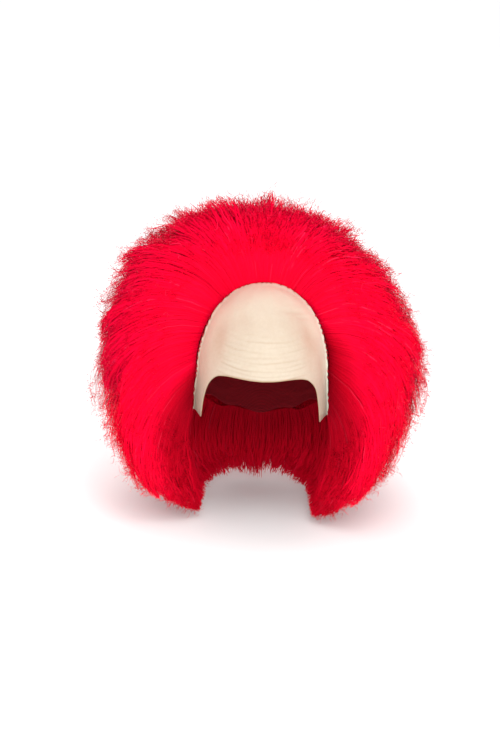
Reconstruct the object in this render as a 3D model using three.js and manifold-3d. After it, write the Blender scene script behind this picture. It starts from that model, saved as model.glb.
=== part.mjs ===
// Clown wig: a moulded latex bald front, a fabric wig cap behind it, and long frizzy hair round the
// crown, sides and back. Millimetres, +Z up. The face looks towards -Y and the wearer's left is +X.
// The origin is the point inside the wig that rests on the crown of the head.
import * as THREE from "three";
import { mergeVertices } from "three/addons/utils/BufferGeometryUtils.js";
import Module from "manifold-3d";

const wasm = await Module();
wasm.setup();

const degree = Math.PI / 180;
const quarterTurn = Math.PI / 2;
const fullTurn = Math.PI * 2;

// The head that the wig fits: a dome above its widest level, and nearly straight sides below it
const headHalfWidth = 77;
const headHalfLength = 98;
const domeHeight = 87;
const skirtHeight = 95;
const sideTaper = 0.05;
const napeTaper = 0.2;

// Walls and the gaps between the pieces
const latexWall = 1.2;
const capWall = 1.6;
const seamGap = 0.4;
const hairGap = 1.2;
const partingGap = 0.4;
const rimClearance = 2;

// The hairline, from the crown down to the foot of each tab in front of the ear
const tabDrop = 53;
const crownAzimuth = 90 * degree;
const crownBlend = 45 * degree;
const hairlineAzimuth = 64 * degree;
const tabLean = 10 * degree;

// The opening for the face
const browPolar = 83.5 * degree;
const browDip = 1.2 * degree;
const openingAzimuth = 49 * degree;
const openingSquareness = 0.42;

// Relief of the latex: soft gathers along the hairline, and forehead wrinkles
const gathersPerSide = 11;
const gatherHeight = 1.1;
const gatherFade = 0.2;
const wrinkleHeight = 0.8;
const wrinkleBreadth = 2.6 * degree;
const wrinkleSag = 2.2 * degree;
const wrinkleHalfSpan = 36 * degree;
const wrinkleStep = 0.09;

// Reach of the hair from the middle of the head's widest level
const hairHalfWidth = 181;
const hairTopReach = 175;
const hairBottomReach = 186;
const hairFrontReach = 172;
const hairBackReach = 186;

// How the hair falls from its roots
const rootSink = 3;
const sideTipPolar = 163 * degree;
const napeTipPolar = 150 * degree;
const middleDroop = 12 * degree;
const outwardEase = 1.7;
const droopEase = 1.6;

// Beside the face the hair bulges forward. Its tips swing back at the crown, and forward at the tabs.
const frontBulge = 16;
const crownSwing = 9 * degree;
const tabSwing = -18 * degree;
const frontFade = 22 * degree;

// In front of the ears the hair hangs nearly straight from the tabs, as a share of hanging plumb
const tabHang = 0.65;
const hangDepth = 262;

// The body of the hair and the locks that stand out of it, as shares of the reach
const bodyShare = 0.94;
const lockShare = 0.975;
const lockHalfWidth = 22;
const lockHalfThickness = 14;
const lockSides = 4;

// Where the hair parts: a cone round the crown, and a wedge at the back
const crownConeAngle = 38 * degree;
const backWedgeAngle = 62 * degree;

// The rim of the cap, from the foot of the tab over the ear and down to the nape:
// the azimuth in degrees, and the drop below the widest level as a share of the skirt
const rimRows = [
  { azimuth: 74, drop: 0.56 },
  { azimuth: 84, drop: 0.42 },
  { azimuth: 94, drop: 0.37 },
  { azimuth: 106, drop: 0.48 },
  { azimuth: 121, drop: 0.68 },
  { azimuth: 150, drop: 0.9 },
  { azimuth: 180, drop: 1 },
];

// The outline seen from the front: the bearing in degrees from the top towards the wearer's left,
// and how full the hair is there, as a share of its plain reach
const outlineRows = [
  { bearing: -180, fullness: 1 },
  { bearing: -144, fullness: 1.06 },
  { bearing: -90, fullness: 1.045 },
  { bearing: -51, fullness: 1.09 },
  { bearing: -36, fullness: 1.045 },
  { bearing: 0, fullness: 1.01 },
  { bearing: 44, fullness: 0.95 },
  { bearing: 85, fullness: 1 },
  { bearing: 105, fullness: 1.05 },
  { bearing: 144, fullness: 1.04 },
  { bearing: 180, fullness: 1 },
];

// Forehead wrinkles from the brow up: the strength of each, and where along its span it sags most
const wrinkleRows = [
  { strength: 0.6, middle: 0 },
  { strength: 1, middle: -0.1 },
  { strength: 1, middle: 0.2 },
  { strength: 0.7, middle: -0.15 },
];

// Dents of the latex in degrees: a hollow at each temple, and a soft crease above the left one
const dentRows = [
  { azimuth: -46, polar: 62, length: 13, breadth: 8, depth: 1.6, turn: 70 },
  { azimuth: 48, polar: 60, length: 12, breadth: 8, depth: 1.5, turn: 110 },
  { azimuth: 40, polar: 42, length: 15, breadth: 4, depth: 0.9, turn: 165 },
];

// Rings of a lock from inside the body to its tip: how far along the strand each one lies, its
// girth as a share of the full lock, and its lift as a share of the lock's half thickness
const lockRings = [
  { along: 0.62, girth: 0.9, lift: -0.4 },
  { along: 0.86, girth: 1.05, lift: -0.1 },
  { along: 0.97, girth: 0.75, lift: 0.1 },
  { along: 1, girth: 0, lift: 0.6 },
];

// Rows of locks from the crown to the rim: the share of the way at which each is rooted
const lockRows = [
  { share: 0.08, locks: 4 },
  { share: 0.24, locks: 6 },
  { share: 0.4, locks: 9 },
  { share: 0.55, locks: 10 },
  { share: 0.7, locks: 12 },
  { share: 0.84, locks: 12 },
  { share: 0.97, locks: 13 },
];

// Facets: columns round the head or along the hairline, and rows down it
const latexFacets = { columns: gathersPerSide * 4, wrinkleRows: 9, rows: 17 };
const capFacets = { columns: 28, rows: 8 };
const hairFacets = { columns: 28, rows: 11, depth: 3 };
const roomFacets = { columns: 40, rows: 16 };

const widestLevel = -domeHeight;
const reachOfCutters = 2 * (hairTopReach + hairBottomReach);
const tabPolar = polarOfDrop(tabDrop);
const { lerp, clamp, smoothstep } = THREE.MathUtils;

// A bump of height 1 that fades to nothing over about twice its spread
function bump(distance, spread) {
  return Math.exp(-((distance / spread) ** 2));
}

// The rows of a table on either side of a value, and how far the value lies between them
function rowsAround(rows, column, value) {
  const index = clamp(rows.findLastIndex((row) => row[column] <= value), 0, rows.length - 2);
  const [before, after] = [rows[index], rows[index + 1]];
  return { before, after, way: (value - before[column]) / (after[column] - before[column]) };
}

// The polar angle at which a point lies the given distance below the widest level
function polarOfDrop(drop) {
  return quarterTurn + drop / domeHeight;
}

// A point of the head form moved outwards. Azimuth runs from the front round the wearer's left, and
// polar from the crown: past a quarter turn it goes straight on down the side of the head.
function headPoint(azimuth, polar, outwards) {
  const dome = Math.min(polar, quarterTurn);
  const below = domeHeight * Math.max(0, polar - quarterTurn);
  const backwards = Math.max(0, -Math.cos(azimuth));
  const taper = 1 - lerp(sideTaper, napeTaper, backwards ** 2) * (below / skirtHeight) ** 2;
  const x = (headHalfWidth * taper + outwards) * Math.sin(dome) * Math.sin(azimuth);
  const y = -(headHalfLength * taper + outwards) * Math.sin(dome) * Math.cos(azimuth);
  const z = widestLevel + (domeHeight + outwards) * Math.cos(dome) - below;
  return new THREE.Vector3(x, y, z);
}

// The head laid out flat round the crown, so that pieces can be drawn on it without a pole
function flat(azimuth, polar) {
  return new THREE.Vector2(polar * Math.sin(azimuth), polar * Math.cos(azimuth));
}

// How far the tabs lean back at a polar angle
function lean(polar) {
  return tabLean * clamp((polar - quarterTurn) / (tabPolar - quarterTurn), 0, 1);
}

// The azimuth of the hairline at a polar angle: from the crown forward, and down to the tabs
function hairline(polar) {
  return lerp(hairlineAzimuth, crownAzimuth, bump(polar, crownBlend)) + lean(polar);
}

// The hairline as a flat point, from the foot of the right tab at -1 to that of the left one at 1
function hairlineAt(share) {
  const polar = tabPolar * Math.abs(share);
  return flat(Math.sign(share) * hairline(polar), polar);
}

// The edge of the face opening, from the foot of the right tab at -1 to that of the left one at 1
function openingAt(share) {
  const turn = quarterTurn * Math.abs(share);
  const across = Math.sin(turn) ** openingSquareness;
  const up = Math.max(0, Math.cos(turn)) ** openingSquareness;
  const polar = lerp(tabPolar, browPolar, up) + browDip * bump(across, 0.5);
  return flat(Math.sign(share) * (openingAzimuth * across + lean(polar)), polar);
}

// The polar angle of the cap's rim at an azimuth from 0 to a full turn
function rimPolar(azimuth) {
  const folded = Math.min(azimuth, fullTurn - azimuth) / degree;
  const { before, after, way } = rowsAround(rimRows, "azimuth", folded);
  return polarOfDrop(skirtHeight * lerp(before.drop, after.drop, smoothstep(way, 0, 1)));
}

// The height of the latex's relief. Across runs from 0 at the face opening to 1 at the hairline.
function latexRelief(share, across, azimuth, polar) {
  const gather = Math.cos(share * gathersPerSide * fullTurn) * bump(1 - across, gatherFade);
  const inSpan = 1 - smoothstep(Math.abs(azimuth), wrinkleHalfSpan / 2, wrinkleHalfSpan);
  let height = gatherHeight * Math.sqrt(Math.abs(share)) * gather;
  wrinkleRows.forEach((row, index) => {
    const along = azimuth / wrinkleHalfSpan - row.middle;
    const line = browPolar * (1 - wrinkleStep * (index + 1)) + wrinkleSag * (1 - along ** 2);
    height += wrinkleHeight * row.strength * inSpan * bump(polar - line, wrinkleBreadth);
  });
  for (const dent of dentRows) {
    const offset = new THREE.Vector2(azimuth / degree - dent.azimuth, polar / degree - dent.polar);
    offset.rotateAround(new THREE.Vector2(), -dent.turn * degree);
    height -= dent.depth * bump(offset.x, dent.length) * bump(offset.y, dent.breadth);
  }
  return height;
}

// A closed solid from points and triangles, with its faces turned outwards
function solidOf(points, triangles) {
  const merged = mergeVertices(new THREE.BufferGeometry().setFromPoints(points).setIndex(triangles), 1e-3);
  const index = merged.index.array;
  const kept = [];
  for (let i = 0; i < index.length; i += 3) {
    const [a, b, c] = index.slice(i, i + 3);
    if (a !== b && b !== c && c !== a) kept.push(a, b, c);
  }
  const vertProperties = merged.attributes.position.array;
  const made = (triVerts) => new wasm.Manifold(new wasm.Mesh({ numProp: 3, vertProperties, triVerts }));
  const solid = made(new Uint32Array(kept));
  return solid.volume() > 0 ? solid : made(new Uint32Array(kept.reverse()));
}

// A solid from one of the standard geometries
function solidOfGeometry(geometry) {
  const position = geometry.getAttribute("position");
  const points = [];
  for (let i = 0; i < position.count; i++) points.push(new THREE.Vector3().fromBufferAttribute(position, i));
  return solidOf(points, geometry.index ? [...geometry.index.array] : points.map((_, i) => i));
}

// A block whose six faces are grids: place(a, b, c) gives its points for a, b and c from 0 to 1
function blockOf(place, countA, countB, countC) {
  const points = [];
  const triangles = [];
  const face = (across, down, at) => {
    const start = points.length;
    for (let i = 0; i <= across; i++) {
      for (let j = 0; j <= down; j++) points.push(place(...at(i / across, j / down)));
    }
    for (let i = 0; i < across; i++) {
      for (let j = 0; j < down; j++) {
        const corner = start + i * (down + 1) + j;
        const beside = corner + down + 1;
        triangles.push(corner, beside, beside + 1, corner, beside + 1, corner + 1);
      }
    }
  };
  face(countA, countB, (a, b) => [a, b, 1]);
  face(countB, countA, (b, a) => [a, b, 0]);
  face(countB, countC, (b, c) => [1, b, c]);
  face(countC, countB, (c, b) => [0, b, c]);
  face(countC, countA, (c, a) => [a, 1, c]);
  face(countA, countC, (a, c) => [a, 0, c]);
  return solidOf(points, triangles);
}

// The latex front, from the face opening to the hairline, with closer rows over the wrinkles
function baldFront() {
  const { columns, wrinkleRows: close, rows } = latexFacets;
  const spread = (b) => {
    const row = b * rows;
    const closeEnd = (close * wrinkleStep) / 2;
    return row < close ? (row * wrinkleStep) / 2 : lerp(closeEnd, 1, (row - close) / (rows - close));
  };
  return blockOf(
    (a, b, c) => {
      const share = 2 * a - 1;
      const across = spread(b);
      const place = openingAt(share).lerp(hairlineAt(share), across);
      const [azimuth, polar] = [Math.atan2(place.x, place.y), place.length()];
      return headPoint(azimuth, polar, latexWall * c + latexRelief(share, across, azimuth, polar));
    },
    columns,
    rows,
    1,
  );
}

// The fabric cap behind the hairline, down to its rim
function wigCap() {
  return blockOf(
    (a, b, c) => {
      const azimuth = azimuthAt(a, 1);
      const rim = flat(azimuth, rimPolar(azimuth));
      const place = hairlineAt(1 - 2 * a).lerp(rim, b);
      const point = headPoint(Math.atan2(place.x, place.y), place.length(), capWall * c);
      return point.setY(point.y + seamGap);
    },
    capFacets.columns,
    capFacets.rows,
    1,
  );
}

// The azimuth at a share a of the way from the left hairline round the back to the right one
function azimuthAt(a, share) {
  const line = hairline(tabPolar * share);
  return lerp(line, fullTurn - line, a);
}

// How far the hair reaches in a direction given by azimuth and polar angle, on the side of +1 or -1
function hairReach(side, azimuth, polar) {
  const x = Math.sin(polar) * Math.sin(azimuth);
  const y = -Math.sin(polar) * Math.cos(azimuth);
  const z = Math.cos(polar);
  const lengthwise = y < 0 ? hairFrontReach : hairBackReach;
  const upright = z > 0 ? hairTopReach : hairBottomReach;
  const { before, after, way } = rowsAround(outlineRows, "bearing", Math.atan2(side * x, z) / degree);
  const fullness = lerp(before.fullness, after.fullness, way);
  return fullness / Math.hypot(x / hairHalfWidth, y / lengthwise, z / upright);
}

// A point of a strand. Its root lies at an azimuth and a share of the way from crown to rim, and
// along runs from 0 at the root to 1 at the tip. The strand leaves the cap outwards and then falls.
function strandPoint(azimuth, share, along, reachShare) {
  const side = azimuth > Math.PI ? -1 : 1;
  const folded = side > 0 ? azimuth : fullTurn - azimuth;
  const rootPolar = rimPolar(azimuth) * share;
  const root = headPoint(folded, rootPolar, -rootSink);
  const nearFace = bump(folded - hairline(rootPolar), frontFade);
  const backwards = clamp((folded - quarterTurn) / quarterTurn, 0, 1);
  const tipRange = lerp(sideTipPolar, napeTipPolar, backwards) - rimPolar(azimuth);
  const tipPolar = rootPolar + middleDroop * Math.sin(Math.PI * share) + tipRange * share;
  const tipAzimuth = folded + lerp(crownSwing, tabSwing, share ** 2) * nearFace;
  const rootReach = Math.hypot(root.x, root.y, root.z - widestLevel);
  const reach = hairReach(side, tipAzimuth, tipPolar) * reachShare;
  const radius = lerp(rootReach, reach, 1 - (1 - along) ** outwardEase);
  const fallen = along ** droopEase;
  const polar = lerp(Math.atan2(Math.hypot(root.x, root.y), root.z - widestLevel), tipPolar, fallen);
  const heading = lerp(folded, tipAzimuth, fallen);
  const bulge = frontBulge * nearFace * 4 * along * (1 - along);
  const swept = new THREE.Vector3(
    side * radius * Math.sin(polar) * Math.sin(heading),
    seamGap - radius * Math.sin(polar) * Math.cos(heading) - bulge,
    widestLevel + radius * Math.cos(polar),
  );
  const plumb = new THREE.Vector3(side * root.x, seamGap + root.y, lerp(root.z, -hangDepth, along));
  return swept.lerp(plumb, tabHang * nearFace * share ** 3);
}

// A curved, flattened lock with a pointed tip. A short step back along the strand gives its direction.
function lockSolid(azimuth, share) {
  const lockStep = 0.02;
  const middle = new THREE.Vector3(0, 0, widestLevel);
  const place = (ring, corner) => {
    const centre = strandPoint(azimuth, share, ring.along, lockShare);
    const before = strandPoint(azimuth, share, ring.along - lockStep, lockShare);
    const outwards = centre.clone().sub(middle).normalize();
    const across = centre.clone().sub(before).cross(outwards).normalize();
    const turn = ((corner + 0.25) / lockSides) * fullTurn;
    centre.addScaledVector(outwards, lockHalfThickness * (ring.lift + Math.sin(turn) * ring.girth));
    return centre.addScaledVector(across, lockHalfWidth * Math.cos(turn) * ring.girth);
  };
  const points = [];
  const triangles = [];
  const rings = lockRings.length;
  for (const ring of lockRings) {
    for (let i = 0; i < lockSides; i++) points.push(place(ring, i));
  }
  for (let ring = 1; ring < rings; ring++) {
    for (let i = 0; i < lockSides; i++) {
      const here = ring * lockSides + i;
      const beside = ring * lockSides + ((i + 1) % lockSides);
      triangles.push(here, beside, beside - lockSides, here, beside - lockSides, here - lockSides);
    }
  }
  for (let i = 1; i < lockSides - 1; i++) triangles.push(0, i, i + 1);
  return solidOf(points, triangles);
}

// The room that the head and the cap take up, down to just below the nape
function capRoom() {
  const points = [];
  const triangles = [];
  const { columns, rows } = roomFacets;
  for (let row = 0; row <= rows; row++) {
    const polar = (polarOfDrop(skirtHeight + rimClearance) * row) / rows;
    for (let i = 0; i < columns; i++) {
      points.push(headPoint((fullTurn * i) / columns, polar, capWall + hairGap));
    }
  }
  for (let row = 0; row < rows; row++) {
    for (let i = 0; i < columns; i++) {
      const here = row * columns + i;
      const beside = row * columns + ((i + 1) % columns);
      triangles.push(here, here + columns, beside + columns, here, beside + columns, beside);
    }
  }
  for (let i = 1; i < columns - 1; i++) {
    triangles.push(rows * columns, rows * columns + i + 1, rows * columns + i);
  }
  return solidOf(points, triangles).translate([0, seamGap, 0]);
}

// All of the hair: its body, with its rows of locks fused on
function hairMass() {
  const { columns, rows, depth } = hairFacets;
  let mass = blockOf(
    (a, b, c) => strandPoint(azimuthAt(a, b), b, c, bodyShare),
    columns,
    rows,
    depth,
  );
  lockRows.forEach((row, index) => {
    for (let i = 0; i < row.locks; i++) {
      const a = (i + (index % 2 ? 0.75 : 0.25)) / row.locks;
      mass = mass.add(lockSolid(azimuthAt(a, row.share), row.share));
    }
  });
  return mass;
}

// The largest body of a solid: the tip of a lock that reaches past a parting is left off
function mainBody(solid) {
  return solid.decompose().reduce((best, body) => (body.volume() > best.volume() ? body : best));
}

// The hair, parted into sections that keep a small gap to each other
function hairSections() {
  const far = reachOfCutters;
  const cone = new THREE.ConeGeometry(far * Math.tan(crownConeAngle), far, roomFacets.columns);
  const overCrown = solidOfGeometry(cone.rotateX(-quarterTurn).translate(0, 0, far / 2 + widestLevel));
  const wedge = new THREE.Shape([
    new THREE.Vector2(0, 0),
    new THREE.Vector2(far * Math.sin(backWedgeAngle), far * Math.cos(backWedgeAngle)),
    new THREE.Vector2(-far * Math.sin(backWedgeAngle), far * Math.cos(backWedgeAngle)),
  ]);
  const atBack = solidOfGeometry(
    new THREE.ExtrudeGeometry(wedge, { depth: 2 * far, bevelEnabled: false }).translate(0, 0, -far),
  );
  const half = new THREE.BoxGeometry(2 * far, 2 * far, 2 * far);
  const atLeft = solidOfGeometry(half.clone().translate(far, 0, 0));
  const atRight = solidOfGeometry(half.clone().translate(-far, 0, 0));

  const hair = hairMass().subtract(capRoom());
  const belowCrown = hair.subtract(overCrown.translate([0, 0, -partingGap / Math.sin(crownConeAngle)]));
  const beside = belowCrown.subtract(atBack.translate([0, -partingGap / Math.sin(backWedgeAngle), 0]));
  return {
    hair_crown: mainBody(hair.intersect(overCrown)),
    hair_left: mainBody(beside.intersect(atLeft)),
    hair_right: mainBody(beside.intersect(atRight)),
    hair_back: mainBody(belowCrown.intersect(atBack)),
  };
}

const latex = new THREE.MeshStandardMaterial({ color: 0xf0dcc0, roughness: 0.55, metalness: 0 });
const fabric = new THREE.MeshStandardMaterial({ color: 0xa01020, roughness: 0.85, metalness: 0 });
const hairFibre = new THREE.MeshStandardMaterial({ color: 0xe6001f, roughness: 0.6, metalness: 0 });

// A solid as a mesh with a name and a material
function meshOf(name, solid, material) {
  const { vertProperties, triVerts } = solid.getMesh();
  const geometry = new THREE.BufferGeometry();
  geometry.setAttribute("position", new THREE.BufferAttribute(new Float32Array(vertProperties), 3));
  geometry.setIndex(new THREE.BufferAttribute(new Uint32Array(triVerts), 1));
  geometry.computeVertexNormals();
  const mesh = new THREE.Mesh(geometry, material);
  mesh.name = name;
  return mesh;
}

const wig = new THREE.Group();
wig.add(meshOf("bald_front", baldFront(), latex));
wig.add(meshOf("wig_cap", wigCap(), fabric));
for (const [name, solid] of Object.entries(hairSections())) wig.add(meshOf(name, solid, hairFibre));

export default wig;
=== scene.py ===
import math

import bmesh
import bpy
import numpy as np
from mathutils import Matrix, Vector


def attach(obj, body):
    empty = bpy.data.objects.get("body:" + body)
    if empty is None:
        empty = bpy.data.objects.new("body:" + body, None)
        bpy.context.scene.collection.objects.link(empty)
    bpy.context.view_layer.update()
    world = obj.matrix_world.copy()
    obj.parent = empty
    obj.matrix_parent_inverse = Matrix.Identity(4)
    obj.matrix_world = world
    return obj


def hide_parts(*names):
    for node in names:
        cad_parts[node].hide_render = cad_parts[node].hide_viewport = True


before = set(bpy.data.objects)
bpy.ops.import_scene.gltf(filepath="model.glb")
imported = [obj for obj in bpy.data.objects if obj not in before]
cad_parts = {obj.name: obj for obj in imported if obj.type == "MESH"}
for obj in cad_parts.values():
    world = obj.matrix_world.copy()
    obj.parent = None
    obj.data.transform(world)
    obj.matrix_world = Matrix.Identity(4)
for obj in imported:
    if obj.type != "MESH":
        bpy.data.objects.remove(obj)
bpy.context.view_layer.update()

DEGREE = math.pi / 180
QUARTER_TURN = math.pi / 2
FULL_TURN = math.pi * 2
MM = 0.001

# The head form that the wig fits, in metres, as the cap and the latex front follow it
HEAD_HALF_WIDTH = 0.077
HEAD_HALF_LENGTH = 0.098
DOME_HEIGHT = 0.087
SKIRT_HEIGHT = 0.095
SIDE_TAPER = 0.05
NAPE_TAPER = 0.2
WIDEST_LEVEL = -DOME_HEIGHT

# Walls
LATEX_WALL = 0.0011
CAP_WALL = 0.0014
SEAM_GAP = 0.0004

# The hairline and the face opening
TAB_DROP = 0.053
CROWN_AZIMUTH = 90 * DEGREE
CROWN_BLEND = 45 * DEGREE
HAIRLINE_AZIMUTH = 64 * DEGREE
TAB_LEAN = 10 * DEGREE
BROW_POLAR = 83.5 * DEGREE
BROW_DIP = 1.2 * DEGREE
OPENING_AZIMUTH = 49 * DEGREE
OPENING_SQUARENESS = 0.42

# Relief of the latex
GATHERS_PER_SIDE = 20
GATHER_DRIFT = 0.9
GATHER_HEIGHT = 0.0005
GATHER_FADE = 0.07
SCALLOP_DEPTH = 0.0017
SCALLOP_LEFT_SHARE = 0.35
EDGE_WAVE = 0.0012
ROW_SPREAD = 1.4
WRINKLE_HEIGHT = 0.0010
WRINKLE_BREADTH = 0.9 * DEGREE
WRINKLE_SAG = 2.2 * DEGREE
WRINKLE_HALF_SPAN = 44 * DEGREE

# Reach of the hair, and how it falls from its roots
HAIR_HALF_WIDTH = 0.181
HAIR_TOP_REACH = 0.175
HAIR_BOTTOM_REACH = 0.186
HAIR_FRONT_REACH = 0.172
HAIR_BACK_REACH = 0.186
SIDE_TIP_POLAR = 163 * DEGREE
NAPE_TIP_POLAR = 150 * DEGREE
MIDDLE_DROOP = 12 * DEGREE
OUTWARD_EASE = 1.7
DROOP_EASE = 1.6
FRONT_BULGE = 0.016
CROWN_SWING = 9 * DEGREE
TAB_SWING = -18 * DEGREE
FRONT_FADE = 22 * DEGREE
TAB_HANG = 0.65
HANG_DEPTH = 0.262

# The outline seen from the front: bearing in degrees from the top, and fullness as a share of the reach
OUTLINE_BEARINGS = [-180, -144, -122, -90, -51, -36, 0, 44, 85, 105, 128, 144, 180]
OUTLINE_FULLNESS = [1, 1.06, 1.1, 1.03, 1.08, 1.03, 1.01, 0.95, 1, 1.05, 1.07, 1.06, 1]

# The rim of the cap: azimuth in degrees, and drop as a share of the skirt
RIM_AZIMUTHS = np.array([74, 84, 94, 106, 121, 150, 180], float)
RIM_DROPS = np.array([0.56, 0.42, 0.37, 0.48, 0.68, 0.9, 1.0])


def mix(a, b, share):
    return a + (b - a) * share


def bump(distance, spread):
    return np.exp(-((distance / spread) ** 2))


def smoothstep(value, low, high):
    share = np.clip((value - low) / (high - low), 0, 1)
    return share * share * (3 - 2 * share)


def polar_of_drop(drop):
    return QUARTER_TURN + drop / DOME_HEIGHT


TAB_POLAR = polar_of_drop(TAB_DROP)


def head_point(azimuth, polar, outwards):
    """Points on the head form moved outwards, straight down the side past a quarter turn."""
    dome = np.minimum(polar, QUARTER_TURN)
    below = DOME_HEIGHT * np.maximum(0, polar - QUARTER_TURN)
    backwards = np.maximum(0, -np.cos(azimuth))
    taper = 1 - mix(SIDE_TAPER, NAPE_TAPER, backwards**2) * (below / SKIRT_HEIGHT) ** 2
    x = (HEAD_HALF_WIDTH * taper + outwards) * np.sin(dome) * np.sin(azimuth)
    y = -(HEAD_HALF_LENGTH * taper + outwards) * np.sin(dome) * np.cos(azimuth)
    z = WIDEST_LEVEL + (DOME_HEIGHT + outwards) * np.cos(dome) - below
    return np.stack([x, y, z], axis=-1)


def lean(polar):
    return TAB_LEAN * np.clip((polar - QUARTER_TURN) / (TAB_POLAR - QUARTER_TURN), 0, 1)


def hairline(polar):
    return mix(HAIRLINE_AZIMUTH, CROWN_AZIMUTH, bump(polar, CROWN_BLEND)) + lean(polar)


def flat(azimuth, polar):
    """The head laid out flat round the crown."""
    return np.stack([polar * np.sin(azimuth), polar * np.cos(azimuth)], axis=-1)


def from_flat(place):
    return np.arctan2(place[..., 0], place[..., 1]), np.hypot(place[..., 0], place[..., 1])


def hairline_at(share):
    polar = TAB_POLAR * np.abs(share)
    return flat(np.sign(share) * hairline(polar), polar)


def opening_at(share):
    turn = QUARTER_TURN * np.abs(share)
    across = np.sin(turn) ** OPENING_SQUARENESS
    up = np.maximum(0, np.cos(turn)) ** OPENING_SQUARENESS
    polar = mix(TAB_POLAR, BROW_POLAR, up) + BROW_DIP * bump(across, 0.5)
    return flat(np.sign(share) * (OPENING_AZIMUTH * across + lean(polar)), polar)


def rim_polar(azimuth):
    folded = np.minimum(azimuth, FULL_TURN - azimuth) / DEGREE
    after = np.clip(np.searchsorted(RIM_AZIMUTHS, folded), 1, len(RIM_AZIMUTHS) - 1)
    share = smoothstep(folded, RIM_AZIMUTHS[after - 1], RIM_AZIMUTHS[after])
    return polar_of_drop(SKIRT_HEIGHT * mix(RIM_DROPS[after - 1], RIM_DROPS[after], share))


def azimuth_at(a, share):
    line = hairline(TAB_POLAR * share)
    return mix(line, FULL_TURN - line, a)


def hair_reach(side, azimuth, polar):
    x = np.sin(polar) * np.sin(azimuth)
    y = -np.sin(polar) * np.cos(azimuth)
    z = np.cos(polar)
    lengthwise = np.where(y < 0, HAIR_FRONT_REACH, HAIR_BACK_REACH)
    upright = np.where(z > 0, HAIR_TOP_REACH, HAIR_BOTTOM_REACH)
    fullness = np.interp(np.arctan2(side * x, z) / DEGREE, OUTLINE_BEARINGS, OUTLINE_FULLNESS)
    return fullness / np.sqrt((x / HAIR_HALF_WIDTH) ** 2 + (y / lengthwise) ** 2 + (z / upright) ** 2)


def strand_points(azimuth, share, along, reach_share, root_out=0.001):
    """Points along strands. All arguments broadcast together, and along runs from root to tip."""
    side = np.where(azimuth > math.pi, -1.0, 1.0)
    folded = np.where(azimuth > math.pi, FULL_TURN - azimuth, azimuth)
    rim = rim_polar(azimuth)
    root_polar = rim * share
    root = head_point(folded, root_polar, root_out)
    near_face = bump(folded - hairline(root_polar), FRONT_FADE)
    backwards = np.clip((folded - QUARTER_TURN) / QUARTER_TURN, 0, 1)
    tip_range = mix(SIDE_TIP_POLAR, NAPE_TIP_POLAR, backwards) - rim
    tip_polar = root_polar + MIDDLE_DROOP * np.sin(math.pi * share) + tip_range * share
    tip_azimuth = folded + mix(CROWN_SWING, TAB_SWING, share**2) * near_face
    up = root[..., 2] - WIDEST_LEVEL
    level = np.hypot(root[..., 0], root[..., 1])
    root_reach = np.hypot(level, up)
    reach = hair_reach(side, tip_azimuth, tip_polar) * reach_share
    radius = mix(root_reach, reach, 1 - (1 - along) ** OUTWARD_EASE)
    fallen = along**DROOP_EASE
    polar = mix(np.arctan2(level, up), tip_polar, fallen)
    heading = mix(folded, tip_azimuth, fallen)
    forward = FRONT_BULGE * near_face * 4 * along * (1 - along)
    x = side * radius * np.sin(polar) * np.sin(heading)
    y = SEAM_GAP - radius * np.sin(polar) * np.cos(heading) - forward
    z = WIDEST_LEVEL + radius * np.cos(polar)
    hang = TAB_HANG * near_face * share**3
    x = mix(x, side * root[..., 0], hang)
    y = mix(y, SEAM_GAP + root[..., 1], hang)
    z = mix(z, mix(root[..., 2], -HANG_DEPTH, along), hang)
    return np.stack(np.broadcast_arrays(x, y, z), axis=-1)


# Camera at the photograph's angle: raised, and rolled a little
CAMERA_ELEVATION = 20 * DEGREE
CAMERA_ROLL = 2.6 * DEGREE
CAMERA_DISTANCE = 2.0
CAMERA_TARGET = Vector((-0.0133, -0.0023, -0.1062))
IMAGE_HEIGHT_PX = 750
FOCAL_PX = 1786


def add_camera():
    back = Vector((0, -math.cos(CAMERA_ELEVATION), math.sin(CAMERA_ELEVATION)))
    level_up = Vector((0, math.sin(CAMERA_ELEVATION), math.cos(CAMERA_ELEVATION)))
    level_right = Vector((1, 0, 0))
    right = level_right * math.cos(CAMERA_ROLL) + level_up * math.sin(CAMERA_ROLL)
    up = level_up * math.cos(CAMERA_ROLL) - level_right * math.sin(CAMERA_ROLL)
    camera = bpy.data.objects.new("camera", bpy.data.cameras.new("camera"))
    camera.matrix_world = Matrix((right, up, back)).transposed().to_4x4()
    camera.location = CAMERA_TARGET + back * CAMERA_DISTANCE
    camera.data.sensor_fit = "VERTICAL"
    camera.data.angle = 2 * math.atan(IMAGE_HEIGHT_PX / 2 / FOCAL_PX)
    camera.data.clip_end = 100
    bpy.context.collection.objects.link(camera)
    bpy.context.scene.camera = camera


# Studio: an even white surround, with soft lamps above
FLOOR_LEVEL = -0.272
FLOOR_SIZE = 30
WORLD_STRENGTH = 1.0


def add_lamp(name, place, size, power):
    lamp = bpy.data.objects.new(name, bpy.data.lights.new(name, "AREA"))
    lamp.data.size = size
    lamp.data.energy = power
    lamp.location = place
    aim = Vector((0, 0, WIDEST_LEVEL)) - Vector(place)
    lamp.rotation_euler = aim.to_track_quat("-Z", "Y").to_euler()
    bpy.context.collection.objects.link(lamp)


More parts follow.
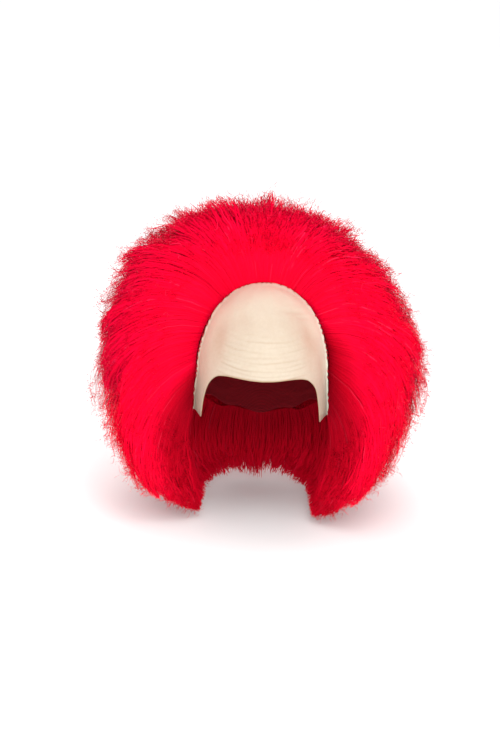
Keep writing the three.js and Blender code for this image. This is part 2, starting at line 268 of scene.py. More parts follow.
def add_studio():
    world = bpy.data.worlds.new("studio")
    world.use_nodes = True
    world.node_tree.nodes["Background"].inputs["Color"].default_value = (1, 1, 1, 1)
    world.node_tree.nodes["Background"].inputs["Strength"].default_value = WORLD_STRENGTH
    bpy.context.scene.world = world
    bpy.context.scene.view_settings.view_transform = "Standard"
    add_lamp("key_lamp", (0.5, -1.5, 1.6), 1.2, 8)
    add_lamp("front_lamp", (0.1, -2.3, 0.9), 1.3, 10)
    add_lamp("left_lamp", (-1.7, -1.3, 0.25), 0.9, 7)
    add_lamp("right_lamp", (1.7, -1.3, 0.25), 0.9, 9)
    add_lamp("forehead_lamp", (0.2, -1.0, 1.9), 0.8, 6)
    add_lamp("back_lamp", (-0.3, 0.4, 1.7), 1.3, 8)
    bpy.ops.object.select_all(action="DESELECT")
    bpy.ops.mesh.primitive_plane_add(size=FLOOR_SIZE, location=(0, 0, FLOOR_LEVEL))
    floor = bpy.context.object
    floor.name = "floor"
    paint = new_material("floor_paint", (0.99, 0.99, 0.99), 0.9)
    floor.data.materials.append(paint.material)


class Paint:
    """A material under construction: its node tree and its main shader."""

    def __init__(self, name, color, roughness):
        self.material = bpy.data.materials.new(name)
        self.material.use_nodes = True
        self.tree = self.material.node_tree
        self.shader = self.tree.nodes["Principled BSDF"]
        self.set("Base Color", (*color, 1))
        self.set("Roughness", roughness)

    def set(self, socket, value):
        self.shader.inputs[socket].default_value = value

    def node(self, kind, **settings):
        made = self.tree.nodes.new(kind)
        for key, value in settings.items():
            if key in made.inputs:
                made.inputs[key].default_value = value
            else:
                setattr(made, key, value)
        return made

    def link(self, source, target):
        self.tree.links.new(source, target)

    def ramp(self, factor, stops):
        made = self.tree.nodes.new("ShaderNodeValToRGB")
        elements = made.color_ramp.elements
        while len(elements) < len(stops):
            elements.new(0.5)
        for element, (position, color) in zip(elements, stops):
            element.position = position
            element.color = (*color, 1)
        self.link(factor, made.inputs["Fac"])
        return made.outputs["Color"]

    def blend(self, kind, share, first, second):
        made = self.tree.nodes.new("ShaderNodeMix")
        made.data_type = "RGBA"
        made.blend_type = kind
        for socket, value in ((made.inputs[0], share), (made.inputs[6], first), (made.inputs[7], second)):
            if isinstance(value, bpy.types.NodeSocket):
                self.link(value, socket)
            else:
                socket.default_value = value
        return made.outputs[2]

    def bump(self, height, strength, distance):
        made = self.tree.nodes.new("ShaderNodeBump")
        made.inputs["Strength"].default_value = strength
        made.inputs["Distance"].default_value = distance
        self.link(height, made.inputs["Height"])
        self.link(made.outputs["Normal"], self.shader.inputs["Normal"])


def new_material(name, color, roughness):
    return Paint(name, color, roughness)


def paint_latex():
    paint = new_material("latex", (0.66, 0.55, 0.43), 0.55)
    paint.set("Specular IOR Level", 0.3)
    paint.set("Subsurface Weight", 0.06)
    paint.set("Subsurface Radius", (1.0, 0.7, 0.45))
    paint.set("Subsurface Scale", 0.0015)
    place = paint.node("ShaderNodeTexCoord").outputs["Object"]
    cloud = paint.node("ShaderNodeTexNoise", Scale=22.0, Detail=4.0, Roughness=0.55)
    paint.link(place, cloud.inputs["Vector"])
    tint = paint.ramp(cloud.outputs["Fac"], [(0.36, (0.535, 0.438, 0.340)), (0.64, (0.57, 0.485, 0.382))])
    speckle = paint.node("ShaderNodeTexNoise", Scale=260.0, Detail=3.0, Roughness=0.6)
    paint.link(place, speckle.inputs["Vector"])
    mottle = paint.ramp(speckle.outputs["Fac"], [(0.4, (0.93, 0.9, 0.87)), (0.6, (1.0, 1.0, 1.0))])
    # Painted shade in the creases, the gathers, the dents and along the face edge
    painted_crease_shade = paint.node("ShaderNodeAttribute", attribute_name="painted_crease_shade").outputs["Fac"]
    mottled = paint.blend("MULTIPLY", 0.4, tint, mottle)
    crease_shaded = paint.blend("MULTIPLY", painted_crease_shade, mottled, (0.72, 0.56, 0.42, 1))
    # Painted light: paler and less pink near the hairline, fading out towards the wearer's right, against the
    # hair's shade and red reflected light
    painted_light_near_hair = paint.node("ShaderNodeAttribute", attribute_name="painted_light_near_hair").outputs["Fac"]
    painted_paler = paint.blend("MIX", painted_light_near_hair, crease_shaded, (0.66, 0.66, 0.53, 1))
    paint.link(painted_paler, paint.shader.inputs["Base Color"])
    gloss = paint.ramp(cloud.outputs["Fac"], [(0.3, (0.42, 0.42, 0.42)), (0.7, (0.58, 0.58, 0.58))])
    paint.link(gloss, paint.shader.inputs["Roughness"])
    paint.bump(speckle.outputs["Fac"], 0.06, 0.0006)
    return paint.material


def paint_cap():
    paint = new_material("cap_knit", (0.22, 0.006, 0.012), 0.85)
    paint.set("Specular IOR Level", 0.2)
    place = paint.node("ShaderNodeUVMap", uv_map="UVMap").outputs["UV"]
    stretch = paint.node("ShaderNodeMapping", Scale=(90.0, 46.0, 1.0))
    paint.link(place, stretch.inputs["Vector"])
    ribs = paint.node("ShaderNodeTexWave", wave_type="BANDS", bands_direction="X", Scale=1.0, Distortion=0.5)
    rows = paint.node("ShaderNodeTexWave", wave_type="BANDS", bands_direction="Y", Scale=1.0, Distortion=0.5)
    paint.link(stretch.outputs["Vector"], ribs.inputs["Vector"])
    paint.link(stretch.outputs["Vector"], rows.inputs["Vector"])
    knit = paint.node("ShaderNodeMath", operation="MULTIPLY")
    paint.link(ribs.outputs["Fac"], knit.inputs[0])
    paint.link(rows.outputs["Fac"], knit.inputs[1])
    color = paint.ramp(knit.outputs["Value"], [(0.0, (0.09, 0.001, 0.004)), (0.6, (0.42, 0.005, 0.016))])
    paint.link(color, paint.shader.inputs["Base Color"])
    paint.bump(knit.outputs["Value"], 0.6, 0.0008)
    return paint.material


def paint_thread():
    paint = new_material("seam_thread", (0.45, 0.01, 0.03), 0.6)
    place = paint.node("ShaderNodeTexCoord").outputs["Object"]
    twist = paint.node("ShaderNodeTexNoise", Scale=1800.0, Detail=2.0)
    paint.link(place, twist.inputs["Vector"])
    color = paint.ramp(twist.outputs["Fac"], [(0.35, (0.36, 0.003, 0.014)), (0.65, (0.74, 0.006, 0.03))])
    paint.link(color, paint.shader.inputs["Base Color"])
    paint.bump(twist.outputs["Fac"], 0.4, 0.0002)
    return paint.material


def paint_hair(name, shade):
    """Red synthetic fibre. Across the UV map each strand has its own place, and up it runs root to tip. The shade
    factor darkens the red as painted shade.
    """
    paint = new_material(name, (0.8, 0.002, 0.02), 0.42)
    paint.set("Specular IOR Level", 0.10)
    paint.set("Specular Tint", (1.0, 0.10, 0.2, 1.0))
    place = paint.node("ShaderNodeUVMap", uv_map="UVMap").outputs["UV"]
    split = paint.node("ShaderNodeSeparateXYZ")
    paint.link(place, split.inputs["Vector"])
    strand = paint.node("ShaderNodeTexWhiteNoise", noise_dimensions="1D")
    paint.link(split.outputs["X"], strand.inputs["W"])
    # Colour from root to tip: painted shade at the roots, and darker again towards the tips
    along = paint.ramp(
        split.outputs["Y"],
        [
            (0.0, (0.32 * shade, 0.0004, 0.007)),
            (0.08, (0.55 * shade, 0.0006, 0.012)),
            (0.25, (0.87 * shade, 0.0009, 0.027)),
            (0.88, (0.87 * shade, 0.0008, 0.025)),
            (1.0, (0.68 * shade, 0.0006, 0.030)),
        ],
    )
    # Each strand's own tint, varied a little at random; the top 3% are painted highlights, pale pink strands
    own = paint.ramp(
        strand.outputs["Value"],
        [(0.0, (0.92, 0.88, 0.88)), (0.5, (1.0, 1.0, 1.0)), (0.97, (1.03, 1.8, 1.3)), (1.0, (1.06, 26.0, 3.0))],
    )
    paint.link(paint.blend("MULTIPLY", 1.0, along, own), paint.shader.inputs["Base Color"])
    gloss = paint.ramp(strand.outputs["Value"], [(0.0, (0.36, 0.36, 0.36)), (1.0, (0.52, 0.52, 0.52))])
    paint.link(gloss, paint.shader.inputs["Roughness"])
    if shade < 1:
        spot = paint.node("ShaderNodeTexCoord").outputs["Object"]
        fibre = paint.node("ShaderNodeTexNoise", Scale=420.0, Detail=3.0)
        paint.link(spot, fibre.inputs["Vector"])
        paint.bump(fibre.outputs["Fac"], 0.7, 0.001)
    return paint.material


def finish_piece(piece, material, slot, *nodes):
    piece.data.materials.clear()
    piece.data.materials.append(material)
    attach(piece, "root")
    if nodes:
        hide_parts(*nodes)


def shaped_grid(name, columns, rows, place):
    """A grid primitive whose points move to place(u, v), with u and v as its UV map, facing outwards."""
    bpy.ops.object.select_all(action="DESELECT")
    bpy.ops.mesh.primitive_grid_add(x_subdivisions=columns, y_subdivisions=rows, size=1)
    piece = bpy.context.object
    piece.name = piece.data.name = name
    count = len(piece.data.vertices)
    square = np.empty(count * 3)
    piece.data.vertices.foreach_get("co", square)
    square = square.reshape(-1, 3) + 0.5
    points = place(square[:, 0], square[:, 1])
    piece.data.vertices.foreach_set("co", points.ravel())
    piece.data.update()
    normals = np.empty(count * 3)
    piece.data.vertices.foreach_get("normal", normals)
    outwards = points - np.array([0, 0, WIDEST_LEVEL])
    if np.sum(normals.reshape(-1, 3) * outwards) < 0:
        bpy.ops.object.mode_set(mode="EDIT")
        bpy.ops.mesh.select_all(action="SELECT")
        bpy.ops.mesh.flip_normals()
        bpy.ops.object.mode_set(mode="OBJECT")
    bpy.ops.object.shade_smooth()
    return piece


def thicken(piece, wall, offset=-1):
    bpy.ops.object.modifier_add(type="SOLIDIFY")
    solidify = piece.modifiers[-1]
    solidify.thickness = wall
    solidify.offset = offset
    bpy.ops.object.modifier_apply(modifier=solidify.name)


# Forehead wrinkles, from the brow up: share of the way, strength, and place of its lowest sag
WRINKLES = [
    (0.030, 0.8, 0.0),
    (0.065, 0.5, 0.2),
    (0.105, 1.0, 0.1),
    (0.140, 0.5, 0.3),
    (0.175, 0.9, -0.05),
    (0.215, 0.6, -0.25),
    (0.255, 0.9, 0.15),
    (0.300, 0.5, -0.1),
    (0.345, 0.8, 0.1),
    (0.395, 0.4, 0.2),
]

# Dents in degrees: azimuth, polar, length, breadth, depth in metres, and turn
DENTS = [
    (-46, 62, 13, 8, 0.0016, 70),
    (48, 60, 12, 8, 0.0015, 110),
    (44, 37, 17, 2.2, 0.0010, 8),
    (50, 43, 12, 1.8, 0.0007, 12),
    (60, 64, 5, 9, 0.0007, 100),
    (58, 80, 5, 7, 0.0007, 90),
    (-30, 40, 12, 4, 0.0006, 20),
]


def gather_phase(share):
    """How many gathers lie between the top of the hairline and here. They are unevenly spaced."""
    return share * GATHERS_PER_SIDE + GATHER_DRIFT * np.sin(share * 11 + 0.5) + 0.3 * np.sin(share * 43)


def latex_relief(share, across, azimuth, polar):
    """The height of the latex over its plain form, and painted shade: darker in the hollows between the gathers,
    along the face edge, below each wrinkle and in the dents.
    """
    gather = np.cos(gather_phase(share) * FULL_TURN) * bump(1 - across, GATHER_FADE)
    height = GATHER_HEIGHT * np.sqrt(np.abs(share)) * gather
    # Painted shade: darker in the hollows between the gathers and along the face edge
    painted_crease_shade = 0.4 * np.maximum(0, -gather) + 0.9 * bump(across, 0.012)
    in_span = 1 - smoothstep(np.abs(azimuth), WRINKLE_HALF_SPAN * 0.65, WRINKLE_HALF_SPAN)
    for index, (way, strength, middle) in enumerate(WRINKLES):
        along = azimuth / WRINKLE_HALF_SPAN - middle
        waver = 0.35 * DEGREE * np.sin(azimuth * 9 + index * 2.1)
        line = BROW_POLAR * (1 - way) + WRINKLE_SAG * (1 - along**2) + waver
        patchy = 0.7 + 0.3 * np.sin(azimuth * 5.3 + index * 1.7)
        depth = strength * patchy * in_span
        height += WRINKLE_HEIGHT * depth * bump(polar - line, WRINKLE_BREADTH)
        # Painted shade just below each wrinkle
        painted_crease_shade += 0.36 * depth * bump(polar - line - WRINKLE_BREADTH, WRINKLE_BREADTH * 0.55)
    for place, level, length, breadth, depth, turn in DENTS:
        x = azimuth / DEGREE - place
        y = polar / DEGREE - level
        turned = turn * DEGREE
        lengthwise = x * math.cos(turned) + y * math.sin(turned)
        crosswise = y * math.cos(turned) - x * math.sin(turned)
        dent = bump(lengthwise, length) * bump(crosswise, breadth)
        height -= depth * dent
        # Painted shade in each dent
        painted_crease_shade += 0.24 * dent * (depth / 0.0016)
    sway = np.sin(azimuth * 7 + polar * 3) * np.sin(polar * 8 - azimuth * 2)
    return height + 0.00035 * sway, np.clip(painted_crease_shade, 0, 1)


def make_latex_front():
    painted_crease_shades = []
    painted_light_shares = []

    def place(u, v):
        share = 2 * u - 1
        v = v**ROW_SPREAD
        uneven = 0.6 + 0.4 * np.sin(share * 37 + 1.1) * np.sin(share * 71 + 0.4)
        depth = SCALLOP_DEPTH * uneven * mix(1, SCALLOP_LEFT_SHARE, smoothstep(share, -0.3, 0.3))
        depth *= 0.3 + 0.7 * smoothstep(np.abs(share), 0.05, 0.4)
        scallop = depth * (np.abs(np.cos(gather_phase(share) * math.pi)) - 0.6)
        scallop = scallop + EDGE_WAVE * smoothstep(share, 0.35, 0.6) * np.sin(share * 26)
        across = v + scallop / HEAD_HALF_LENGTH * v**6
        spot = mix(opening_at(share), hairline_at(share), across[:, None])
        azimuth, polar = from_flat(spot)
        lift = 0.0012 * smoothstep(v, 0.93, 1.0) - 0.0003 * (1 - smoothstep(v, 0, 0.02))
        height, painted_crease_shade = latex_relief(share, v, azimuth, polar)
        painted_crease_shades.append(painted_crease_shade)
        # Painted light near the hairline, fading out towards the wearer's right
        painted_light_shares.append(smoothstep(v, 0.45, 1.0) * smoothstep(share, -0.9, 0.3))
        return head_point(azimuth, polar, LATEX_WALL + lift + height)

    piece = shaped_grid("latex_front", 210, 88, place)
    for name, values in (("painted_crease_shade", painted_crease_shades[0]), ("painted_light_near_hair", painted_light_shares[0])):
        layer = piece.data.attributes.new(name, "FLOAT", "POINT")
        layer.data.foreach_set("value", values.astype(np.float32))
    thicken(piece, LATEX_WALL * 0.8)
    return piece


# The cap reaches this share of the way under the latex, and has sewn rows of hair inside
CAP_TUCK = 0.035
WEFT_ROWS = 11
WEFT_RIDGE = 0.0009
RIM_ROLL = 0.0012


def make_cap():
    def place(u, v):
        azimuth = azimuth_at(u, np.ones_like(u))
        rim = flat(azimuth, rim_polar(azimuth))
        way = mix(-CAP_TUCK, 1, v)
        spot = mix(hairline_at(1 - 2 * u), rim, way[:, None])
        ridge = WEFT_RIDGE * np.abs(np.cos(way * WEFT_ROWS * math.pi)) ** 12
        roll = RIM_ROLL * bump(1 - way, 0.03)
        under = 0.0009 * (1 - smoothstep(way, -0.02, 0.004))
        points = head_point(*from_flat(spot), CAP_WALL * 0.75 - ridge - roll * 0.4 - under)
        points[:, 1] += SEAM_GAP
        return points

    piece = shaped_grid("cap", 116, 60, place)
    thicken(piece, CAP_WALL * 0.7)
    return piece


STITCH_LENGTH = 0.0017
STITCH_BREADTH = 0.0010
THREAD_RADIUS = 0.00028


def make_stitches():
    """Loops of thread along the seam between the latex and the cap, each one a copy of one torus."""
    bpy.ops.object.select_all(action="DESELECT")
    bpy.ops.mesh.primitive_torus_add(
        major_segments=12, minor_segments=5, major_radius=STITCH_LENGTH, minor_radius=THREAD_RADIUS
    )
    loop = bpy.context.object
    loop.scale = (1, STITCH_BREADTH / STITCH_LENGTH, 1)
    bpy.ops.object.transform_apply(scale=True)
    count = 2 * GATHERS_PER_SIDE
    line = np.linspace(-1, 1, 2000)
    phase = gather_phase(line)
    shares = np.interp(np.arange(count) + 0.5 - GATHERS_PER_SIDE, phase, line)
    seam = mix(opening_at(shares), hairline_at(shares), 0.985)
    ahead = hairline_at(shares + 0.004)
    azimuth, polar = from_flat(seam)
    points = head_point(azimuth, polar, LATEX_WALL + 0.0017)
    onward = head_point(*from_flat(ahead), LATEX_WALL + 0.0017)
    copies = []
    for point, target in zip(points, onward):
        along = Vector(target - point).normalized()
        outwards = Vector(point - np.array([0, 0, WIDEST_LEVEL])).normalized()
        across = outwards.cross(along).normalized()
        outwards = along.cross(across)
        copy = loop.copy()
        copy.data = loop.data.copy()
        copy.matrix_world = Matrix.Translation(point) @ Matrix((along, across, outwards)).transposed().to_4x4()
        bpy.context.collection.objects.link(copy)
        copies.append(copy)
    bpy.data.objects.remove(loop)
    for copy in copies:
        copy.select_set(True)
    bpy.context.view_layer.objects.active = copies[0]
    bpy.ops.object.join()
    piece = bpy.context.object
    piece.name = piece.data.name = "seam_stitches"
    bpy.ops.object.transform_apply(location=True, rotation=True, scale=True)
    bpy.ops.object.shade_smooth()
    return piece


def mesh_from_arrays(name, points, quads, uv):
    mesh = bpy.data.meshes.new(name)
    mesh.vertices.add(len(points))
    mesh.vertices.foreach_set("co", points.astype(np.float32).ravel())
    mesh.loops.add(quads.size)
    mesh.loops.foreach_set("vertex_index", quads.astype(np.int32).ravel())
    mesh.polygons.add(len(quads))
    mesh.polygons.foreach_set("loop_start", np.arange(0, quads.size, 4, dtype=np.int32))
    mesh.polygons.foreach_set("use_smooth", np.ones(len(quads), bool))
    layer = mesh.uv_layers.new(name="UVMap")
    layer.data.foreach_set("uv", uv[quads.ravel()].astype(np.float32).ravel())
    mesh.update(calc_edges=True)
    piece = bpy.data.objects.new(name, mesh)
    bpy.context.collection.objects.link(piece)
    return piece


def grid_quads(across, down, start=0):
    i, j = np.meshgrid(np.arange(across - 1), np.arange(down - 1), indexing="ij")
    corner = (start + i * down + j).ravel()
    return np.stack([corner, corner + down, corner + down + 1, corner + 1], axis=1)


# The under layer, which closes the view between the strands
UNDER_DEPTH = 0.92
UNDER_INSET = 0.014
UNDER_CROWN_INSET = 0.05
UNDER_SPAN = 0.9
UNDER_COLUMNS = 150
UNDER_ROWS = 70
UNDER_LAYERS = 14
UNDER_TUFT = 0.05


def make_under_layer():
    """A closed skin inside the hair: outer face, two front faces and the face below, joined at their edges."""

    def face(a, b, c):
        tuft = UNDER_TUFT * np.sin(a * 61 + 3 * np.sin(b * 23)) * np.sin(b * 37 + 2 * np.sin(a * 31)) * c
        tuft = tuft * (1 - smoothstep(b, 0.8, 0.95))
        inset = mix(UNDER_CROWN_INSET, UNDER_INSET, smoothstep(b, 0, 0.35))
        share = b * UNDER_SPAN
        return strand_points(azimuth_at(mix(inset, 1 - inset, a), share), share, c, UNDER_DEPTH + tuft * 0.4)

    ramp = lambda count: np.linspace(0, 1, count)
    faces = []
    a, b = np.meshgrid(ramp(UNDER_COLUMNS), ramp(UNDER_ROWS), indexing="ij")
    faces.append((a, b, np.ones_like(a)))
    b, c = np.meshgrid(ramp(UNDER_ROWS), ramp(UNDER_LAYERS), indexing="ij")
    faces.append((np.zeros_like(b), b, c))
    c, b = np.meshgrid(ramp(UNDER_LAYERS), ramp(UNDER_ROWS), indexing="ij")
    faces.append((np.ones_like(b), b, c))
    c, a = np.meshgrid(ramp(UNDER_LAYERS), ramp(UNDER_COLUMNS), indexing="ij")
    faces.append((a, np.ones_like(a), c))
    points, quads, uv = [], [], []
    start = 0
    for a, b, c in faces:
        points.append(face(a, b, c).reshape(-1, 3))
        quads.append(grid_quads(*a.shape, start))
        uv.append(np.stack([(a * 40 + b * 23).ravel(), shaded_tone_of(c * 0.5, b, a * FULL_TURN).ravel()], axis=1))
        start += a.size
    piece = mesh_from_arrays("hair_underlayer", np.concatenate(points), np.concatenate(quads), np.concatenate(uv))
    bpy.ops.object.select_all(action="DESELECT")
    piece.select_set(True)
    bpy.context.view_layer.objects.active = piece
    bpy.ops.object.mode_set(mode="EDIT")
    bpy.ops.mesh.select_all(action="SELECT")
    bpy.ops.mesh.remove_doubles(threshold=0.0002)
    bpy.ops.mesh.normals_make_consistent(inside=False)
    bpy.ops.object.mode_set(mode="OBJECT")
    return piece


# Strands
STRAND_STEPS = 9
SHELL_STEPS = 6
SHELL_START = 0.42
LOCK_AZIMUTH = 8 * DEGREE
LOCK_SHARE = 0.07
STRAND_WIDTH = 0.0008
SHELL_WIDTH = 0.0012
ROOT_REACH = 0.97
PARTS_FROM = 0.45
PARTED_AT = 0.95
MIDDLE_SHARE = 1.6
TIP_SHARE = 0.25
HANG_OUT = 0.010
HANG_IN = 0.010
HANG_MIDDLE = 0.05

LUMP_SHARE = 0.02
LOCK_REACH_CHANGE = 0.025
TUFT_REACH = 0.045
TUFT_FROM = 0.78

# Curls: short crimped ends that make the surface and the outline soft
CURL_STEPS = 7
CURL_WIDTH = 0.00052


def hashed(first, second, salt):
    """A number from 0 to 1 for each pair of whole numbers, the same each run."""
    mixed = np.sin(first * 127.1 + second * 311.7 + salt * 74.7) * 43758.5453
    return mixed - np.floor(mixed)


def unit(vectors):
    return vectors / np.maximum(np.linalg.norm(vectors, axis=-1, keepdims=True), 1e-9)


def strand_path(azimuth, share, along, reach, hang):
    """The way of a strand. At hang 1 it falls straight from its root, and at 0 it is swept outwards."""
    swept = strand_points(azimuth, share, along, reach)
    root = strand_points(azimuth, share, np.zeros_like(along), reach)
    side = np.clip(root[..., 0] / HANG_MIDDLE, -1, 1)
    hanging = root.copy()
    hanging[..., 0] += side * (HANG_OUT * np.sin(math.pi * along) - HANG_IN * along)
    hanging[..., 2] += (-HANG_DEPTH - root[..., 2]) * along * reach
    return mix(swept, hanging, hang[..., None])


def lock_of(azimuth, share):
    """The lock that each strand belongs to: its middle, and its share of the reach."""
    cell_a = np.floor(azimuth / LOCK_AZIMUTH)
    shift = hashed(cell_a, 0, 5)
    cell_b = np.floor(share / LOCK_SHARE + shift)
    lock_a = (cell_a + 0.2 + 0.6 * hashed(cell_a, cell_b, 1)) * LOCK_AZIMUTH
    lock_b = (cell_b + 0.2 + 0.6 * hashed(cell_a, cell_b, 2) - shift) * LOCK_SHARE
    line = hairline(rim_polar(azimuth) * share)
    lock_a = np.clip(lock_a, line, FULL_TURN - line)
    lock_b = np.clip(lock_b, 0.0, 1.0)
    broad = np.sin(azimuth * 7.3 + 1.3 + 2 * share) * np.sin(share * 11 + 0.7 + azimuth)
    own = mix(-LOCK_REACH_CHANGE, LOCK_REACH_CHANGE, hashed(cell_a, cell_b, 3))
    tuft = TUFT_REACH * (hashed(cell_a, cell_b, 4) > TUFT_FROM)
    return lock_a, lock_b, 1 + LUMP_SHARE * broad + own + tuft


def parted_reach(reach, along):
    """Strands lie at one depth near their roots, and part into locks towards their tips."""
    return mix(ROOT_REACH, reach, smoothstep(along, PARTS_FROM, PARTED_AT))


def quick_width():
    return 1.0


def shaded_tone_of(along, share, azimuth):
    """How light a strand is, with painted shade: dark at the roots beside the face, more so on the left, and
    darker low down.
    """
    from_left = azimuth < math.pi
    first = np.where(from_left, 0.12, 0.5)
    last = np.where(from_left, 0.6, 0.9)
    # Painted shade at the roots, lifted on the strands near the crown
    tone = along + (1 - along) * 0.8 * (1 - smoothstep(share, first, last))
    # Painted shade over whole strands low down
    return tone * mix(1.0, 0.12, smoothstep(share, 0.5, 0.9))


def ribbons(lines, facing, width, own, tone, middle_share=1.0):
    """Joined ribbons, one along each line of points."""
    count, steps = lines.shape[:2]
    tangent = unit(np.gradient(lines, axis=1))
    across = unit(np.cross(tangent, facing[:, None, :]))
    way = np.linspace(0, 1, steps)
    thinning = mix(1.0, middle_share, smoothstep(way, 0.1, 0.6)) * mix(1.0, TIP_SHARE, smoothstep(way, 0.7, 1.0))
    edge = across * (0.5 * width[:, None] * thinning)[..., None]
    points = np.stack([lines - edge, lines + edge], axis=2).reshape(-1, 3)
    base = (np.arange(count) * steps * 2)[:, None] + np.arange(steps - 1)[None, :] * 2
    quads = np.stack([base, base + 1, base + 3, base + 2], axis=-1).reshape(-1, 4)
    uv = np.stack([np.broadcast_to(own[:, None], tone.shape), tone], axis=-1)
    uv = np.repeat(uv[:, :, None, :], 2, axis=2).reshape(-1, 2)
    return points, quads, uv


def long_strands(rng, azimuth, share, hang, at_edge):
    """Strands from root to tip along the edges. Elsewhere only the outer part of each strand is made."""
    count = len(azimuth)
    ways = np.linspace(0, 1, STRAND_STEPS + 1) ** 0.75 if at_edge else np.linspace(SHELL_START, 1, SHELL_STEPS + 1)
    along = np.broadcast_to(ways, (count, len(ways)))
    lock_a, lock_b, lock_reach = lock_of(azimuth, share)
    reach = 0.985 * lock_reach * (1 - 0.10 * rng.random(count) ** 1.6)
    gather = (0.3 * along**3) * mix(0.2, 1, rng.random(count))[:, None]
    own_a = mix(azimuth[:, None], lock_a[:, None], gather)
    own_b = mix(share[:, None], lock_b[:, None], gather)
    reach = parted_reach(reach[:, None], along)
    lines = strand_path(own_a, own_b, along, reach, np.broadcast_to(hang[:, None], along.shape))
    tangent = unit(np.gradient(lines, axis=1))
    side = unit(np.cross(tangent, unit(rng.normal(size=(count, 1, 3)))))
    over = np.cross(tangent, side)
    stray = mix(0.3, 1.0, rng.random(count)) if at_edge else mix(0.7, 1.8, rng.random(count))
    for scale, waves in ((0.0024, 2.0), (0.0010, 4.0)):
        turn = FULL_TURN * (along * mix(0.6, 1.4, rng.random(count))[:, None] * waves + rng.random(count)[:, None])
        size = scale * stray[:, None] * smoothstep(along, 0.02, 0.75)
        lines = lines + side * (size * np.sin(turn))[..., None] + over * (size * np.cos(turn * 1.3))[..., None]
    front = np.array([0, -1.0, 0.25])
    outwards = unit(lines[:, -1] - np.array([0, 0, WIDEST_LEVEL]))
    facing = rng.normal(size=(count, 3)) * 0.1 + (front if at_edge else outwards)
    width = (STRAND_WIDTH if at_edge else SHELL_WIDTH) * mix(0.7, 1.3, rng.random(count)) * quick_width()
    tone = shaded_tone_of(along, share[:, None], azimuth[:, None])
    return ribbons(lines, facing, width, rng.random(count) * 97.0, tone, MIDDLE_SHARE if at_edge else 1.0)


def curls(rng, azimuth, share, hang, along):
    """Short crimped fibres that start part of the way along, and leave it at any angle."""
    count = len(azimuth)
    lock_a, lock_b, lock_reach = lock_of(azimuth, share)
    gather = 0.75 * rng.random(count) * along**2
    azimuth, share = mix(azimuth, lock_a, gather), mix(share, lock_b, gather)
    reach = lock_reach * (0.985 + rng.normal(size=count) * 0.008)
    pair = np.stack([along, along + 0.04], axis=1)
    reach = parted_reach(reach[:, None], pair)
    ends = strand_path(azimuth[:, None], share[:, None], pair, reach, np.stack([hang, hang], axis=1))
    heading = unit(unit(ends[:, 1] - ends[:, 0]) * 0.8 + unit(rng.normal(size=(count, 3))) * 0.9)
    side = unit(np.cross(heading, unit(rng.normal(size=(count, 3)))))
    over = np.cross(heading, side)
    length = mix(0.007, 0.016, rng.random(count) ** 2)
    radius = mix(0.0010, 0.0030, rng.random(count))
    steps = np.linspace(0, 1, CURL_STEPS + 1)[None, :]
    turn = steps * FULL_TURN * mix(0.9, 2.1, rng.random(count))[:, None] + rng.random(count)[:, None] * FULL_TURN
    bow = (steps**2 * length[:, None] * rng.normal(size=(count, 1)) * 0.35)[..., None]
    lines = ends[:, None, 0] + heading[:, None] * (steps * length[:, None])[..., None] + over[:, None] * bow
    lines = lines + side[:, None] * (radius[:, None] * np.cos(turn))[..., None]
    lines = lines + over[:, None] * (radius[:, None] * np.sin(turn))[..., None]
    width = CURL_WIDTH * mix(0.7, 1.3, rng.random(count)) * quick_width()
    tone = shaded_tone_of(np.clip(along[:, None] + steps * 0.15, 0, 1), share[:, None], azimuth[:, None])
    outwards = unit(lines[:, 0] - np.array([0, 0, WIDEST_LEVEL]))
    return ribbons(lines, rng.normal(size=(count, 3)) * 0.3 + outwards, width, rng.random(count) * 97.0, tone)


# Each hair piece: the share of the way from crown to rim that its roots cover, the azimuths in
# degrees from the hairline round, the long strands rooted along the hairline, those over its area,
# those that hang from its lower edge, and the curls
HAIR_PIECES = [
    {"name": "hair_crown", "shares": (0.0, 0.30), "azimuths": (0, 360), "edge": 2100, "area": 4600, "hung": 0, "curls": 5400},
    {"name": "hair_left", "shares": (0.30, 1.0), "azimuths": (0, 118), "edge": 2400, "area": 3800, "hung": 1500, "curls": 4900},
    {"name": "hair_right", "shares": (0.30, 1.0), "azimuths": (242, 360), "edge": 2400, "area": 3800, "hung": 1500, "curls": 4900},
    {"name": "hair_back", "shares": (0.30, 0.72), "azimuths": (118, 242), "edge": 0, "area": 6000, "hung": 0, "curls": 6000},
    {"name": "hair_nape", "shares": (0.72, 1.0), "azimuths": (118, 242), "edge": 0, "area": 4000, "hung": 2600, "curls": 4000},
]
EDGE_DEPTH = 0.04
EDGE_OVERLAP = 0.007


def piece_azimuths(piece, share, a):
    line = hairline(TAB_POLAR * share)
    low, high = piece["azimuths"]
    first = line if low == 0 else np.full_like(line, low * DEGREE)
    last = FULL_TURN - line if high == 360 else np.full_like(line, high * DEGREE)
    return mix(first, last, a)


def edge_places(rng, piece, count):
    """Places along the hairline, most of them close to it."""
    low, high = piece["shares"]
    share = mix(low, high, rng.random(count) ** (1.4 if low == 0 else 1.0))
    depth = np.minimum(rng.exponential(EDGE_DEPTH, count) * mix(0.4, 1, share) - EDGE_OVERLAP, 0.5)
    leftwards = rng.random(count) < 0.5
    if piece["azimuths"][0] != 0:
        leftwards[:] = False
    elif piece["azimuths"][1] != 360:
        leftwards[:] = True
    return share, piece_azimuths(piece, share, np.where(leftwards, depth, 1 - depth))


def area_places(rng, piece, count):
    """Places all over a piece, evenly by area."""
    low, high = piece["shares"]
    grid = np.linspace(low, high, 200)
    room = np.sin(np.minimum(grid * polar_of_drop(SKIRT_HEIGHT * 0.7), QUARTER_TURN)) + 0.02
    total = np.cumsum(room)
    share = np.interp(rng.random(count), total / total[-1], grid)
    return share, piece_azimuths(piece, share, rng.random(count))


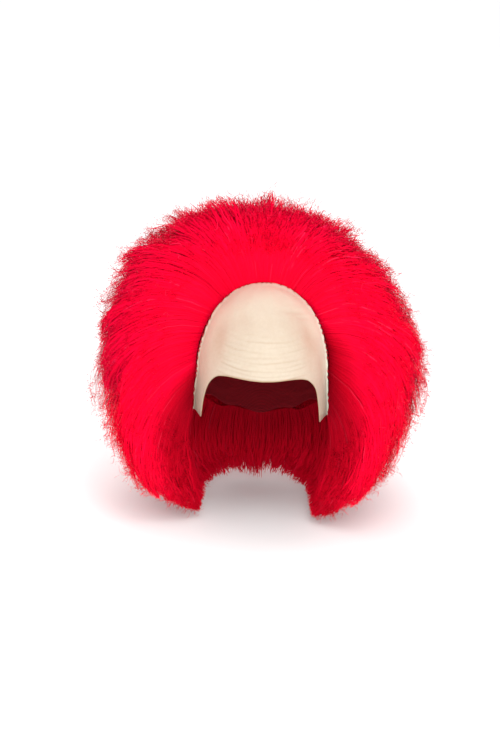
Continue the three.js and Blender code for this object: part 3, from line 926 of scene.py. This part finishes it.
def make_hair(piece, seed):
    rng = np.random.default_rng(seed)
    fewer = 1
    edge, area, hung, curl = (piece[key] // fewer for key in ("edge", "area", "hung", "curls"))
    parts = []
    places = edge_places(rng, piece, edge)
    parts.append(long_strands(rng, places[1], places[0], np.zeros(edge), True))
    places = area_places(rng, piece, area)
    parts.append(long_strands(rng, places[1], places[0], np.zeros(area), False))
    if hung:
        low_share = np.minimum(mix(0.84, 1.1, rng.random(hung)), 1.0)
        side_first = piece["azimuths"][0] == 0
        spread = rng.random(hung) if piece["edge"] == 0 else rng.random(hung) ** 1.4
        around = piece_azimuths(piece, low_share, spread if side_first or piece["edge"] == 0 else 1 - spread)
        parts.append(long_strands(rng, around, low_share, rng.random(hung) ** 1.3, True))
    near_edge = curl // 2 if edge else 0
    share_e, azimuth_e = edge_places(rng, piece, near_edge)
    share_a, azimuth_a = area_places(rng, piece, curl - near_edge)
    along = np.concatenate([mix(1.0, 0.3, rng.random(near_edge) ** 1.3), mix(1.0, 0.86, rng.random(curl - near_edge) ** 1.5)])
    share = np.concatenate([share_e, share_a])
    azimuth = np.concatenate([azimuth_e, azimuth_a])
    parts.append(curls(rng, azimuth, share, np.zeros(curl), along))
    points = np.concatenate([part[0] for part in parts])
    starts = np.cumsum([0] + [len(part[0]) for part in parts[:-1]])
    quads = np.concatenate([part[1] + begin for part, begin in zip(parts, starts)])
    uv = np.concatenate([part[2] for part in parts])
    return mesh_from_arrays(piece["name"] + "_strands", points, quads, uv)


add_camera()
add_studio()

finish_piece(make_latex_front(), paint_latex(), "latex", "bald_front")
finish_piece(make_cap(), paint_cap(), "cap_fabric", "wig_cap")
finish_piece(make_stitches(), paint_thread(), "hair")
hair_paint = paint_hair("hair_fibre", 1.0)
finish_piece(
    make_under_layer(),
    # The under layer is a little darker: painted shade deep in the hair
    paint_hair("hair_underlayer_fibre", 0.95),
    "hair",
    "hair_crown",
    "hair_left",
    "hair_right",
    "hair_back",
)
for seed, hair_piece in enumerate(HAIR_PIECES):
    node = "hair_back" if hair_piece["name"] == "hair_nape" else hair_piece["name"]
    finish_piece(make_hair(hair_piece, seed + 1), hair_paint, "hair", node)
